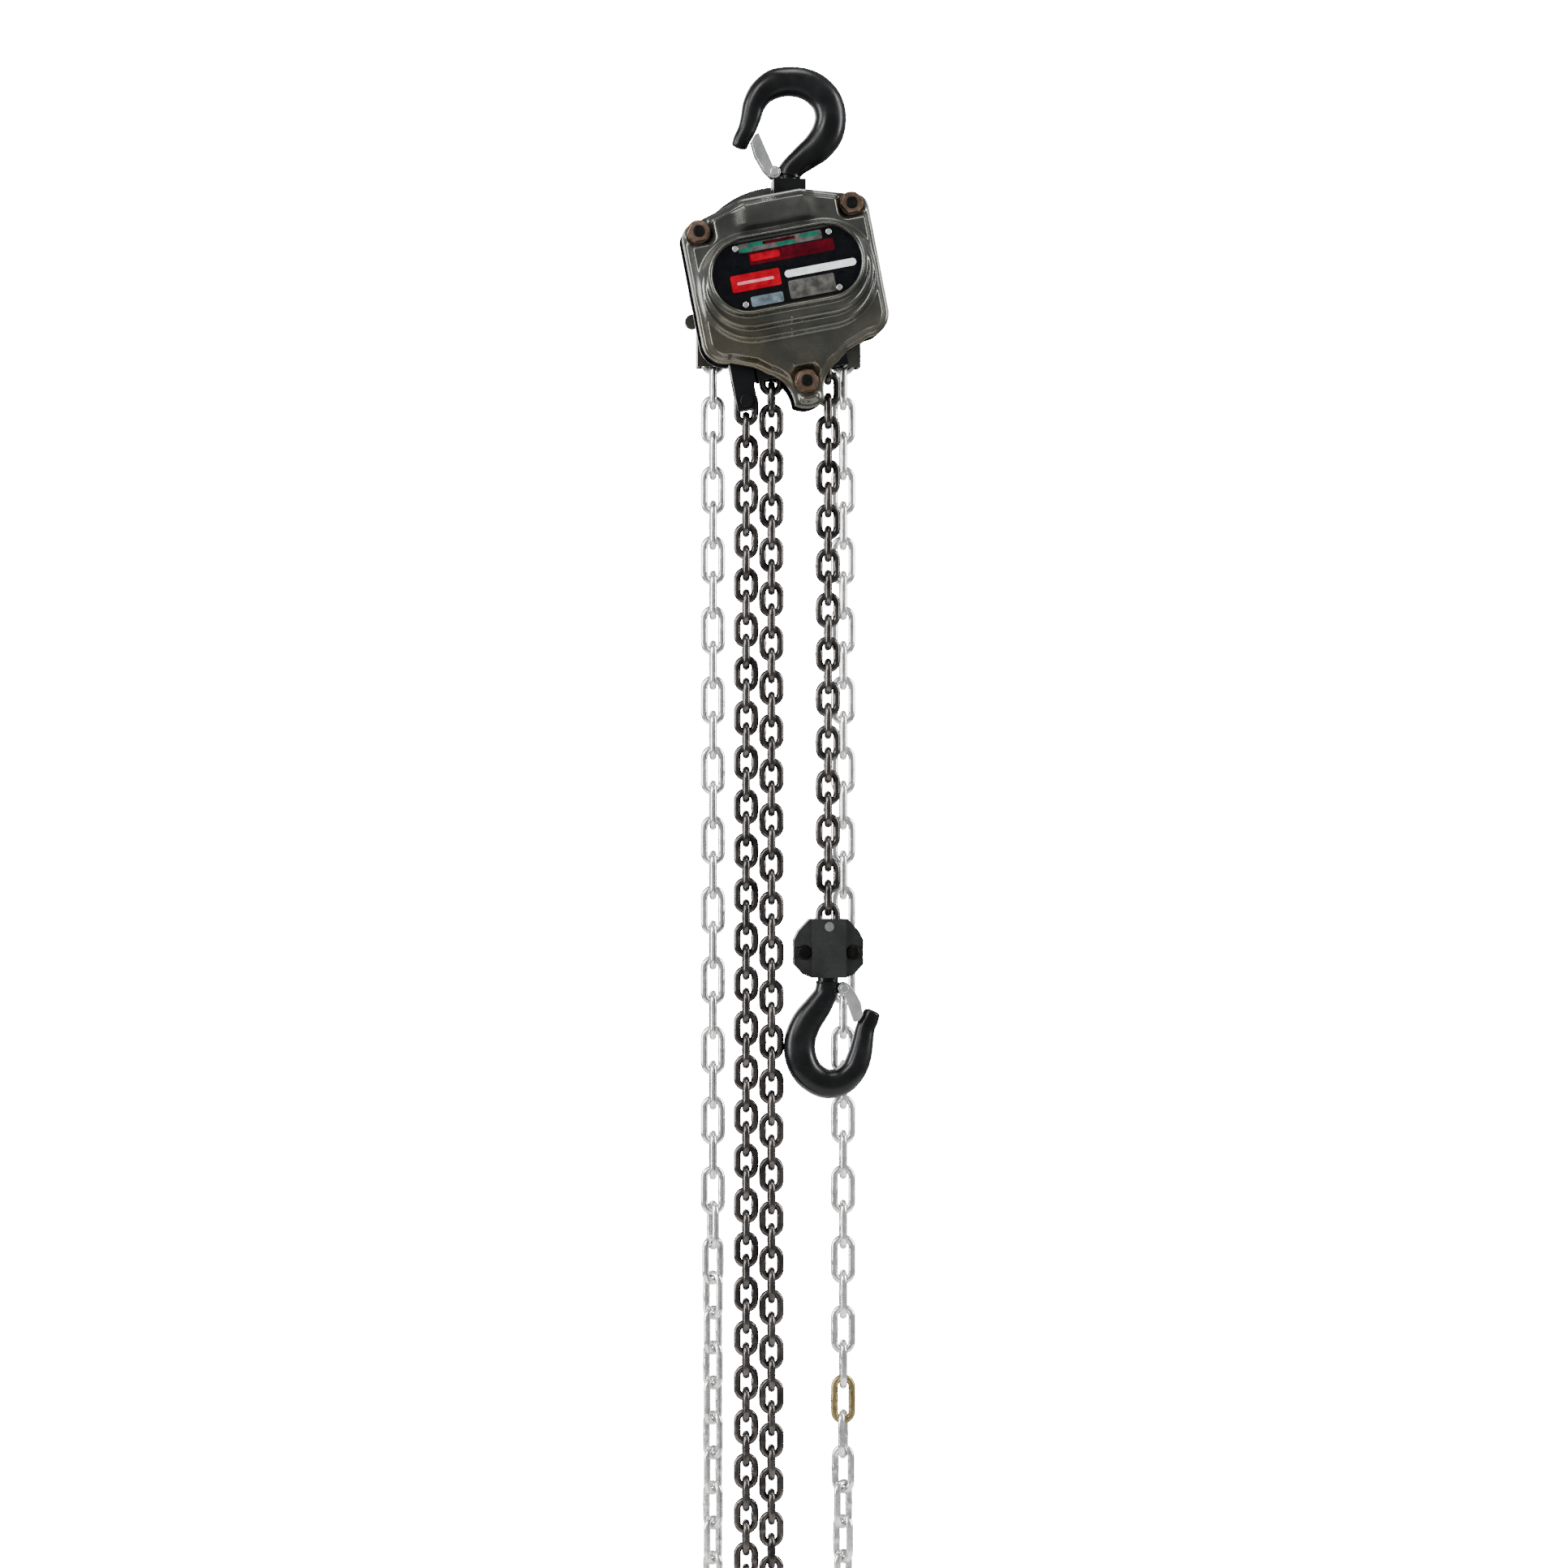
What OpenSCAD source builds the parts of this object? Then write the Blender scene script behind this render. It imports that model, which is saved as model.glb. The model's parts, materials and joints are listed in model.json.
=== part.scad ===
// Half-tonne hand chain hoist, hung by its top hook. Millimetres, +Z up.
// Origin: inner top of the top hook's bowl, where it rests on what carries it.
// The hook, yoke, hanging chains and hook block are drawn in the row frame. Everything in the
// hoist's body is drawn upright about its main shaft and set in place by in_body().

/* [Hanging position] */
// tilt of the body about its suspension pin, right side up
body_tilt = 11; // [0:0.5:16]
// length of the load chain from the guide down to the bottom block, in links
run_links = 26; // [4:2:60]
// height at which the two loops of chain turn
loop_z = -1030; // [-1500:5:-700]

/* [Body] */
// distance between the side plates
plate_gap = 28; // [26:1:34]
// thickness of each side plate
plate_t = 4; // [3:0.5:6]
// depth of the gear case's outer pan
pan_depth = 13; // [10:1:20]
// wall of the pressed covers
wall = 2.5; // [1.5:0.5:4]

/* [Load chain] */
// pitch of the load chain
load_pitch = 15; // [12:0.5:21]
// wire of the load chain
load_wire = 4.9; // [4:0.1:7]

/* [Hand chain] */
// pitch of the hand chain
hand_pitch = 24; // [20:0.5:30]
// wire of the hand chain
hand_wire = 4.9; // [4:0.1:6]
// links round one turn of the hand wheel
hand_links = 12; // [8:2:16]

/* [Gears] */
// module of the gear train
gear_module = 1.25; // [1:0.25:2]
// teeth of the pinion on the drive shaft
pinion_teeth = 10; // [9:1:14]
// teeth of each disc gear
disc_teeth = 36; // [30:1:40]
// teeth of the pinion on each disc gear
disc_pinion_teeth = 12; // [10:1:16]
// teeth of the load gear
load_teeth = 34; // [30:1:40]

/* [Hidden] */
$fn = 64;

black = [0.09, 0.09, 0.10];
steel = [0.62, 0.63, 0.64];
zinc = [0.80, 0.80, 0.78];
dark_steel = [0.24, 0.24, 0.25];
cover_grey = [0.33, 0.32, 0.29];
gold_zinc = [0.55, 0.42, 0.22];
bronze = [0.60, 0.43, 0.20];

main_x = -3.8;
main_z = -120.5;
pin_x = 12;
pin_z = 42;
inner_y = plate_gap / 2;
plate_y = inner_y + plate_t;
shaft_r = 6;
fit = 0.05;
chain_play = 0.45;
floor_gap = 0.35;

load_r = load_pitch / (2 * sin(22.5));
load_bend = 6;
hand_bend = 6;
hand_r = hand_pitch / (2 * sin(180 / hand_links));
hand_x = hand_r * cos(180 / hand_links);
hand_y = 47;
guide_z = -4 * load_pitch;
bolt_spots = [[-52.5, 36.5], [52.5, 36.5], [0, -75.4]];
pitch_gap = gear_module * (pinion_teeth + disc_teeth) / 2;
pressure = 25;
backlash = 0.075;

dead_end = [-41, -80];
pawl_spot = [37, 8];

function in_row(p) = [
    main_x + p[0] * cos(body_tilt) - p[1] * sin(body_tilt),
    main_z + p[0] * sin(body_tilt) + p[1] * cos(body_tilt)
];

run_top = in_row([load_r, guide_z]);
block_x = run_top[0];
chain_pin_r = 3.2;
block_z = run_top[1] - load_pitch * run_links + chain_pin_r;

// ---------- placing helpers ----------

module in_body() {
    translate([main_x, 0, main_z]) rotate([0, -body_tilt, 0]) children();
}

// a profile drawn in x and z, given depth from y0 to y1
module deep(y0, y1) {
    translate([0, y1, 0]) rotate([90, 0, 0]) linear_extrude(height = y1 - y0) children();
}

module rod(r, y0, y1) {
    translate([0, y0, 0]) rotate([-90, 0, 0]) cylinder(r = r, h = y1 - y0);
}

module hexagon(flats) {
    circle(r = flats / sqrt(3), $fn = 6);
}

module at_each(spots) {
    for (p = spots) translate([p[0], 0, p[1]]) children();
}

// ---------- chain ----------

// one welded link centred on the origin, long way up; flat in XZ when turn is 0
module chain_link(pitch, wire, bend, turn) {
    straight = pitch + wire + chain_play - 2 * bend;
    rotate([0, 0, turn]) {
        for (s = [-1, 1]) {
            translate([s * bend, 0, -straight / 2]) cylinder(d = wire, h = straight, $fn = 24);
            translate([0, 0, s * straight / 2]) rotate([90, 0, 0]) rotate([0, 0, s * 90 - 90])
                rotate_extrude(angle = 180, $fn = 24) translate([bend, 0]) circle(d = wire, $fn = 24);
        }
    }
}

// a link between two points of the XZ plane
module link_between(p, q, pitch, wire, bend, turn) {
    translate([(p[0] + q[0]) / 2, 0, (p[1] + q[1]) / 2])
        rotate([0, atan2(q[0] - p[0], q[1] - p[1]), 0])
            chain_link(pitch, wire, bend, turn);
}

// alternate links through a list of points
module chain_through(points, pitch, wire, bend, first) {
    for (i = [0 : len(points) - 2])
        link_between(points[i], points[i + 1], pitch, wire, bend, (i + first) % 2 == 0 ? 0 : 90);
}

// ---------- gears ----------

function involute(r, base) = r <= base ? 0 : (sqrt(pow(r / base, 2) - 1) * 180 / PI - acos(base / r));
function half_tooth(r, teeth) =
    let (pitch_r = gear_module * teeth / 2, base = pitch_r * cos(pressure))
    90 / teeth - backlash / pitch_r * 90 / PI + involute(pitch_r, base) - involute(r, base);
function polar(r, a) = [r * cos(a), r * sin(a)];

module gear_profile(teeth, turn) {
    pitch_r = gear_module * teeth / 2;
    base = pitch_r * cos(pressure);
    root = pitch_r - 1.05 * gear_module;
    tip = pitch_r + 0.8 * gear_module;
    foot = max(root, base);
    flank = [for (k = [0 : 3]) foot + (tip - foot) * k / 3];
    rotate(turn) polygon([
        for (i = [0 : teeth - 1])
            let (at = 360 * i / teeth)
            each concat(
                [polar(root, at - half_tooth(foot, teeth))],
                [for (k = [0 : 3]) polar(flank[k] + 0.001, at - half_tooth(flank[k], teeth))],
                [for (k = [3 : -1 : 0]) polar(flank[k] + 0.001, at + half_tooth(flank[k], teeth))],
                [polar(root, at + half_tooth(foot, teeth))]
            )
    ]);
}

// ---------- hooks ----------

// Catmull-Rom value between p1 and p2
function spline(p0, p1, p2, p3, t) =
    0.5 * (2 * p1 + (p2 - p0) * t + (2 * p0 - 5 * p1 + 4 * p2 - p3) * t * t
        + (3 * p1 - p0 - 3 * p2 + p3) * t * t * t);
function smooth(list, steps) = [
    for (i = [0 : len(list) - 2])
        for (k = [0 : steps - 1])
            spline(list[max(i - 1, 0)], list[i], list[i + 1], list[min(i + 2, len(list) - 1)], k / steps),
    list[len(list) - 1]
];

// stations are [x, z, half width in the hook's plane, half thickness across it]
module swept_hook(stations) {
    rings = smooth(stations, 4);
    n = len(rings);
    sides = 24;
    points = [
        for (i = [0 : n - 1])
            let (
                a = rings[max(i - 1, 0)],
                b = rings[min(i + 1, n - 1)],
                along = [b[0] - a[0], b[1] - a[1]] / norm([b[0] - a[0], b[1] - a[1]])
            )
            for (k = [0 : sides - 1])
                let (w = rings[i][2] * cos(360 * k / sides), t = rings[i][3] * sin(360 * k / sides))
                [rings[i][0] + along[1] * w, t, rings[i][1] - along[0] * w]
    ];
    faces = concat(
        [[for (k = [0 : sides - 1]) k]],
        [
            for (i = [0 : n - 2]) for (k = [0 : sides - 1])
                let (here = i * sides, above = here + sides, next = (k + 1) % sides)
                [here + k, above + k, above + next, here + next]
        ],
        [[for (k = [sides - 1 : -1 : 0]) (n - 1) * sides + k]]
    );
    polyhedron(points = points, faces = faces, convexity = 6);
}

top_stations = [
    [0, -54, 8.2, 8.2], [1, -51, 8, 8], [5, -46.4, 8.2, 8.2], [12.2, -40.5, 9.3, 9], [20, -34, 10.4, 10],
    [26.3, -25, 10.9, 10.5], [28.6, -14, 10.6, 11], [26, -3.4, 10.6, 11], [19, 4.6, 10.6, 11],
    [10, 8.9, 10.3, 11], [0, 9.95, 9.95, 11], [-9.5, 8.3, 9.9, 10], [-18, 2.6, 8.8, 9], [-23.2, -5.4, 7.7, 8],
    [-25.6, -14.5, 6.9, 7], [-28.2, -22.5, 6.1, 6], [-31.8, -29.8, 5.7, 5.6], [-33.8, -35.6, 5.2, 5.2]
];
bottom_stations = [
    [block_x, -600, 8.2, 8.2], [block_x - 0.3, -603, 7.9, 7.9], [24.9, -609, 8, 8], [19.5, -617.5, 9.2, 9],
    [12.3, -627.5, 10.1, 9.8], [8, -639, 10.5, 10.2], [8.3, -651, 10.6, 10.4], [14, -663, 10.2, 10.6],
    [24.5, -669.8, 9.7, 10.6], [35.5, -667.6, 9.4, 10], [43.8, -660.5, 8.7, 9.3], [48.3, -650.5, 8.2, 8.4],
    [50.6, -640, 7.2, 7.4], [52.2, -632, 6.6, 6.3], [55.2, -625.2, 6.2, 5.9], [57.6, -619.6, 5.4, 5.6]
];

// latch pivot and rest point, for the top and the bottom hook
top_pivot = [-10, -52];
top_rest = [-21.4, -26];
bottom_pivot = [37.5, -604.5];
bottom_rest = [45.4, -627];

// a pressed channel from its pivot to the inside of the hook's nose, which its two cheeks straddle
module latch_channel(pivot, rest) {
    span = norm(rest - pivot);
    translate([pivot[0], 0, pivot[1]]) rotate([0, atan2(rest[0] - pivot[0], rest[1] - pivot[1]), 0])
        difference() {
            union() {
                translate([-0.8, -7.9, 4.6]) cube([1.6, 15.8, span - 4.6]);
                for (y = [-7.9, 6.7]) {
                    rod(4.2, y, y + 1.2);
                    deep(y, y + 1.2) polygon([
                        [0.8, 3], [0.8, span], [-2, span], [-6, span - 3], [-7.4, span * 0.55], [-6, 4],
                        [-3.6, -2.1], [0, 0]
                    ]);
                }
            }
            rod(1.6 + fit, -9, 9);
        }
}

module latch_lug(pivot, to) {
    deep(-3, 3) translate(pivot) difference() {
        union() {
            circle(r = 3.6);
            rotate(atan2(to[1] - pivot[1], to[0] - pivot[0])) translate([0, -3.3])
                square([norm(to - pivot), 6.6]);
        }
        circle(r = 1.6);
    }
}

// what is cut from the hook for the latch's cheeks and its rivet
module latch_room(pivot) {
    translate([pivot[0], 0, pivot[1]]) {
        for (y = [-9, 3.05]) rod(5, y, y + 5.95);
        rod(1.6, -4, 4);
    }
}

module latch_rivet(pivot) {
    translate([pivot[0], 0, pivot[1]]) {
        rod(1.6, -8.6, 8.6);
        rod(2.8, -9.5, -8.4);
        rod(2.8, 8.4, 9.5);
    }
}

// three coils each side of the lug, inside the latch's cheeks
module latch_coils(pivot) {
    for (y = [-5.6, -4.7, -3.8, 3.8, 4.7, 5.6])
        translate([pivot[0], y, pivot[1]]) rotate([90, 0, 0])
            rotate_extrude($fn = 32) translate([2.3, 0]) circle(d = 0.7, $fn = 13);
}

// ---------- top hook and suspension ----------

module top_hook() {
    color(black) {
        difference() {
            union() {
                swept_hook(top_stations);
                translate([0, 0, -70]) cylinder(r = 7, h = 17);
            }
            latch_room(top_pivot);
        }
        latch_lug(top_pivot, [0, -51]);
    }
}

module top_latch() {
    color(zinc) latch_channel(top_pivot, top_rest);
}

module top_latch_spring() {
    color(steel) latch_coils(top_pivot);
}

module top_latch_rivet() {
    color(zinc) latch_rivet(top_pivot);
}

module top_thrust_washer() {
    color(bronze) translate([0, 0, -64.4]) difference() {
        cylinder(r = 9.3, h = 1.3);
        translate([0, 0, -1]) cylinder(r = 7, h = 4);
    }
}

module top_hook_nut() {
    color(steel) translate([0, 0, -70]) difference() {
        cylinder(r = 9.2, h = 5.6, $fn = 6);
        translate([0, 0, -1]) cylinder(r = 7, h = 8);
    }
}

module top_yoke() {
    pin = in_row([pin_x, pin_z]);
    color(black) difference() {
        union() {
            translate([-11, -13.5, -63]) cube([22, 27, 6]);
            for (s = [-1, 1]) translate([0, s * 11.5, 0]) {
                translate([-11, -2, pin[1]]) cube([22, 4, -63 - pin[1] + 1]);
                translate([pin[0], 0, pin[1]]) rod(11, -2, 2);
            }
        }
        translate([0, 0, -65]) cylinder(r = 7 + fit, h = 10);
        translate([pin[0], 0, pin[1]]) rod(shaft_r + fit, -20, 20);
    }
}

module suspension_pin() {
    color(steel) in_body() translate([pin_x, 0, pin_z]) rod(shaft_r, -plate_y + 0.5, plate_y - 0.5);
}

// ---------- frame ----------

// outline of the pressed covers and side plates, upright; rounds and scoops are [x, z, radius]
corners = [
    [-64, 33], [-54, 43], [-20, 53], [20, 53], [54, 43], [64, 33], [64, -40], [50, -53],
    [32, -60], [12.5, -75], [-12.5, -75], [-32, -60], [-50, -53], [-64, -40]
];
rounds = [[-54, 33, 10], [54, 33, 10], [-48, -38, 16], [48, -38, 16], [0, -77, 16.5]];
scoops = [[-34, -88, 24], [34, -88, 24]];

module outline() {
    difference() {
        union() {
            polygon(corners);
            for (c = rounds) translate([c[0], c[1]]) circle(r = c[2]);
        }
        for (c = scoops) translate([c[0], c[1]]) circle(r = c[2]);
    }
}

// the same outline as one solid sheet
module sheet(y0, y1) {
    difference() {
        union() {
            deep(y0, y1) polygon(corners);
            for (c = rounds) translate([c[0], 0, c[1]]) rod(c[2], y0, y1);
        }
        for (c = scoops) translate([c[0], 0, c[1]]) rod(c[2], y0 - 1, y1 + 1);
    }
}

module inner_outline() {
    difference() {
        scale([0.94, 0.93]) outline();
        for (p = bolt_spots) translate(p) circle(r = 10.5);
    }
}

module stadium(half_x, half_z) {
    square([2 * (half_x - half_z), 2 * half_z], center = true);
    for (s = [-1, 1]) translate([s * (half_x - half_z), 0]) circle(r = half_z);
}

module gear_side_plate() {
    color(dark_steel) in_body() difference() {
        sheet(-plate_y, -inner_y);
        at_each(bolt_spots) rod(4, -20, -10);
        rod(17, -20, -10);
        at_each([[-pitch_gap, 0], [pitch_gap, 0]]) rod(7, -20, -10);
        translate([pin_x, 0, pin_z]) rod(shaft_r, -20, -10);
    }
}

module wheel_side_plate() {
    color(dark_steel) in_body() difference() {
        sheet(inner_y, plate_y);
        at_each(bolt_spots) rod(4, 10, 20);
        rod(17, 10, 20);
        translate([pin_x, 0, pin_z]) rod(shaft_r, 10, 20);
        at_each([pawl_spot, -pawl_spot]) rod(3, 10, 20);
    }
}

module stay_bolts() {
    color(gold_zinc) in_body() at_each(bolt_spots) {
        rod(4, -31, 53);
        rod(6.5, -inner_y, inner_y);
    }
}

module gear_side_nuts() {
    color(gold_zinc) in_body() at_each(bolt_spots) difference() {
        union() {
            rod(8, -24.2, -22.8);
            deep(-30, -24.2) hexagon(13);
        }
        rod(4, -32, -20);
    }
}

module wheel_side_nuts() {
    color(gold_zinc) in_body() at_each(bolt_spots) difference() {
        deep(44, 50.5) hexagon(13);
        rod(4, 40, 60);
    }
}

gasket_y = -plate_y - 0.8;
pan_y = gasket_y - pan_depth;

module gear_case_shell() {
    deep(gasket_y - 3, gasket_y) outline();
    deep(pan_y, gasket_y) scale([0.97, 0.97]) outline();
    deep(pan_y - 4, pan_y + 0.5) translate([0, -7]) stadium(61, 35);
    deep(pan_y - 7, pan_y) translate([0, -4]) stadium(60, 31.5);
    deep(pan_y - 11, pan_y) stadium(59, 28);
    deep(pan_y - 5, pan_y + 0.5) polygon([[-29, 50], [-24, 20], [24, 20], [27, 50]]);
}

module gear_case() {
    color(cover_grey) in_body() difference() {
        gear_case_shell();
        difference() {
            union() {
                deep(pan_y + wall, gasket_y + 1) inner_outline();
                deep(pan_y - 7.5, gasket_y) stadium(56, 25);
            }
            for (s = [-1, 0, 1]) translate([s * pitch_gap, 0, 0]) rod(8, -43, -36);
        }
        for (s = [-1, 1]) translate([s * pitch_gap, 0, 0]) rod(5 + fit, -40, -30);
        rod(4.5 + fit, -40, -30);
        deep(pan_y - 12, pan_y - 10) stadium(56, 25);
        at_each(bolt_spots) {
            rod(9.5, -60, -22.8);
            rod(4, -60, 0);
        }
    }
}

module gear_case_gasket() {
    color(dark_steel) in_body() difference() {
        sheet(gasket_y, -plate_y);
        deep(gasket_y - 1, -plate_y + 1) inner_outline();
        at_each(bolt_spots) rod(4, gasket_y - 1, -plate_y + 1);
    }
}

plate_face = pan_y - 10;
rivet_spots = [[-32, 19], [32, 19], [-32, -19], [32, -19]];

module nameplate() {
    color(black) in_body() deep(plate_face - 0.8, plate_face) difference() {
        stadium(52, 22.5);
        for (p = rivet_spots) translate(p) circle(r = 1.2);
    }
}

module nameplate_rivets() {
    color(zinc) in_body() at_each(rivet_spots) {
        rod(1.2, plate_face - 1, plate_face);
        rod(2, plate_face - 1.6, plate_face - 0.8);
    }
}

// ---------- load train ----------

// room for a link that lies flat on a chain wheel: its middle is radial out from the shaft in the
// direction turn, and then shift along the tangent; straight is half of its straight part
module link_room(radial, turn, shift, straight, wire) {
    rotate([0, -turn, 0]) translate([radial - wire / 2 - floor_gap, 0, shift]) rotate([90, 0, 90])
        linear_extrude(height = 20) rotate(90) {
            square([2 * straight, 17.8], center = true);
            for (s = [-1, 1]) translate([s * straight, 0]) circle(r = 8.9);
        }
}

// a pocket, and the way that a link takes into it and out of it along the straight strand
module load_pocket(turn) {
    link_room(load_r * cos(22.5), turn, 0, 4.6, load_wire);
    for (s = [-1, 1]) {
        link_room(load_r, turn + s * 22.5, -s * load_pitch / 2, 4.6, load_wire);
        link_room(load_r, turn + s * 67.5, -s * load_pitch * 1.5, 4.6, load_wire);
    }
}

module load_sheave() {
    color(steel) in_body() difference() {
        union() {
            rod(23, -12.8, 12.8);
            rod(11, -19.6, 17.5);
            rod(9, -27.8, -19);
        }
        rotate([90, 0, 0]) rotate_extrude() translate([9.3, -3.1]) square([20, 6.2]);
        for (k = [0 : 3]) load_pocket(90 * k - 22.5);
        rod(shaft_r + 0.4, -40, 40);
        rotate([90, 0, 0]) rotate_extrude() translate([8.3, 26.4]) square([2, 1.1]);
    }
}

module sheave_bearings() {
    color(steel) in_body() for (y = [-plate_y, inner_y]) difference() {
        rod(17, y, y + plate_t);
        rod(11 + fit, y - 1, y + plate_t + 1);
        for (s = [0, plate_t - 0.5]) translate([0, y + s, 0]) difference() {
            rod(15.5, 0, 0.5);
            rod(12.5, -1, 2);
        }
    }
}

module load_gear() {
    color(dark_steel) in_body() difference() {
        deep(-26.3, -20.8) gear_profile(load_teeth, 0);
        rod(9, -30, -10);
        for (k = [0 : 5]) rotate([0, 60 * k + 30, 0]) translate([15, 0, 0]) rod(2.6, -30, -10);
    }
}

module load_gear_clip() {
    color(steel) in_body() deep(-27.5, -26.4) difference() {
        circle(r = 10.8);
        circle(r = 8.3);
        translate([0, 9]) square([5, 8], center = true);
    }
}

module disc_gear() {
    deep(-34, -28.6) difference() {
        gear_profile(disc_teeth, 5);
        for (k = [0 : 4]) rotate(72 * k) translate([14.5, 0]) circle(r = 3.4);
    }
    deep(-28.7, -20.4) gear_profile(disc_pinion_teeth, 15);
    rod(5, -38.5, -14.5);
}

module disc_gear_left() {
    color(dark_steel) in_body() translate([-pitch_gap, 0, 0]) disc_gear();
}

module disc_gear_right() {
    color(dark_steel) in_body() translate([pitch_gap, 0, 0]) disc_gear();
}

module disc_gear_bushes() {
    color(bronze) in_body() for (s = [-1, 1]) translate([s * pitch_gap, 0, 0])
        deep(-plate_y, -inner_y) difference() {
            circle(r = 7);
            circle(r = 5 + fit);
        }
}

module drive_shaft() {
    color(steel) in_body() {
        deep(-34.5, -28) gear_profile(pinion_teeth, 0);
        rod(4.5, -38.5, -34);
        difference() {
            rod(shaft_r, -28.2, 66);
            translate([0, 62, -10]) cylinder(r = 1.1, h = 20, $fn = 24);
        }
    }
}

// ---------- chain guide ----------

module cross_channel() {
    square([19, 7], center = true);
    square([7, 19], center = true);
}

module chain_guide() {
    color(black) in_body() difference() {
        union() {
            translate([-31, -inner_y, -69]) cube([62, 2 * inner_y, 30]);
            translate([-48, -10, -86]) cube([14, 20, 32]);
            translate([-40, -10, -69]) cube([20, 20, 15]);
        }
        for (s = [-1, 1]) translate([s * load_r, 0, -80]) linear_extrude(height = 60) cross_channel();
        for (x = [load_r - 1.5, -load_r - 2]) translate([x - 11, -12, -80]) cube([22, 24, 22]);
        rod(24, -20, 20);
        translate([-4.2, -3.2, -60]) cube([8.4, 6.4, 40]);
        translate([-50, -3.5, -95]) cube([19, 7, 30]);
        translate([dead_end[0], 0, dead_end[1]]) rod(3, -20, 20);
        translate([0, 0, -75.4]) rod(8.5, -20, 20);
    }
}

module chain_stripper() {
    color(steel) in_body() difference() {
        translate([-4, -2.6, -60]) cube([8, 5.2, 48]);
        rod(9.8, -5, 5);
    }
}

module dead_end_pin() {
    color(steel) in_body() translate([dead_end[0], 0, dead_end[1]]) {
        rod(3, -10.5, 10.5);
        rod(4.5, -12, -10);
        rod(4.5, 10, 12);
    }
}

// ---------- brake ----------

module friction_hub() {
    color(steel) in_body() difference() {
        union() {
            rod(24, 19, 23);
            rod(13, 22, 33);
        }
        rod(shaft_r, 10, 40);
    }
}

module friction_discs() {
    color(bronze) in_body() for (y = [23, 29.2]) difference() {
        rod(24, y, y + 2);
        rod(13, y - 1, y + 3);
    }
}

module ratchet_disc() {
    teeth = 16;
    color(dark_steel) in_body() deep(25.1, 29.1) difference() {
        polygon([
            for (k = [0 : teeth - 1])
                let (at = 360 * k / teeth)
                each [polar(30, at), polar(26, at + 3)]
        ]);
        circle(r = 13 + fit);
    }
}

// the pawl that stands right of the shaft; its nose faces the steep side of a tooth
module pawl() {
    translate([pawl_spot[0], 0, pawl_spot[1]]) deep(25.2, 29) difference() {
        union() {
            circle(r = 5.5);
            polygon([[-4.5, -2], [-6.4, -7.7], [-11.6, -16.5], [-8.4, -19.2], [5.2, -1.5], [0, 4]]);
        }
        circle(r = 3 + fit);
    }
}

module pawl_left() {
    color(steel) in_body() rotate([0, 180, 0]) pawl();
}

module pawl_right() {
    color(steel) in_body() pawl();
}

module pawl_pins() {
    color(steel) in_body() for (s = [-1, 1]) translate([s * pawl_spot[0], 0, s * pawl_spot[1]]) {
        rod(3, inner_y, 32);
        rod(4.5, plate_y, 24.8);
    }
}

module pawl_springs() {
    color(steel) in_body() for (s = [-1, 1]) for (y = [30, 30.9])
        translate([s * pawl_spot[0], y, s * pawl_spot[1]]) rotate([90, 0, 0])
            rotate_extrude($fn = 32) translate([3.8, 0]) circle(d = 0.9, $fn = 13);
}

module brake_cover() {
    color(cover_grey) in_body() difference() {
        union() {
            rod(47, plate_y, 34.5);
            rod(50, plate_y, plate_y + 1.5);
        }
        rod(45, 10, 33);
        rod(20, 30, 40);
        at_each(bolt_spots) rod(9.5, 0, 40);
    }
}

// ---------- hand wheel ----------

module hand_pocket(turn) {
    step = 360 / hand_links;
    translate([0, hand_y, 0]) {
        link_room(hand_x, turn, 0, 9.2, hand_wire);
        // straight-sided room beside it for the links that come on and go off along a tangent; one is
        // a little wider than the other, so that they share no face
        for (s = [-1, 1])
            rotate([0, -turn - s * step, 0]) translate([hand_x - hand_wire / 2 - floor_gap, 0, -s * hand_pitch])
                translate([0, -9.2 - s / 10, -18.3]) cube([20, 18.4 + s / 5, 36.6]);
    }
}

module hand_wheel() {
    color(dark_steel) in_body() difference() {
        union() {
            rod(19, 31.3, 57);
            rod(51, 35.6, 58);
        }
        translate([0, hand_y, 0]) rotate([90, 0, 0])
            rotate_extrude($fn = 96) translate([hand_x - 9.2, -3.1]) square([30, 6.2]);
        for (k = [0 : hand_links / 2 - 1]) hand_pocket((2 * k + 1) * 360 / hand_links - body_tilt);
        for (y = [30, 52]) difference() {
            rod(32, y, y + 8);
            rod(19, y - 1, y + 9);
        }
        rod(shaft_r, 20, 70);
        rod(13.5, 20, 33.3);
    }
}

module wheel_nut() {
    color(steel) in_body() difference() {
        deep(58, 64.5) hexagon(19);
        rod(shaft_r, 50, 70);
        for (a = [0, 60, 120]) rotate([0, a, 0]) translate([-1.6, 60.5, -12]) cube([3.2, 5, 24]);
    }
}

module split_pin() {
    color(zinc) in_body() translate([0, 62, 0]) {
        translate([0, 0, -11]) cylinder(r = 1, h = 21, $fn = 24);
        translate([0, 0, 11.5]) rotate([90, 0, 0])
            rotate_extrude($fn = 24) translate([1.9, 0]) circle(d = 1.6, $fn = 13);
    }
}

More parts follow.
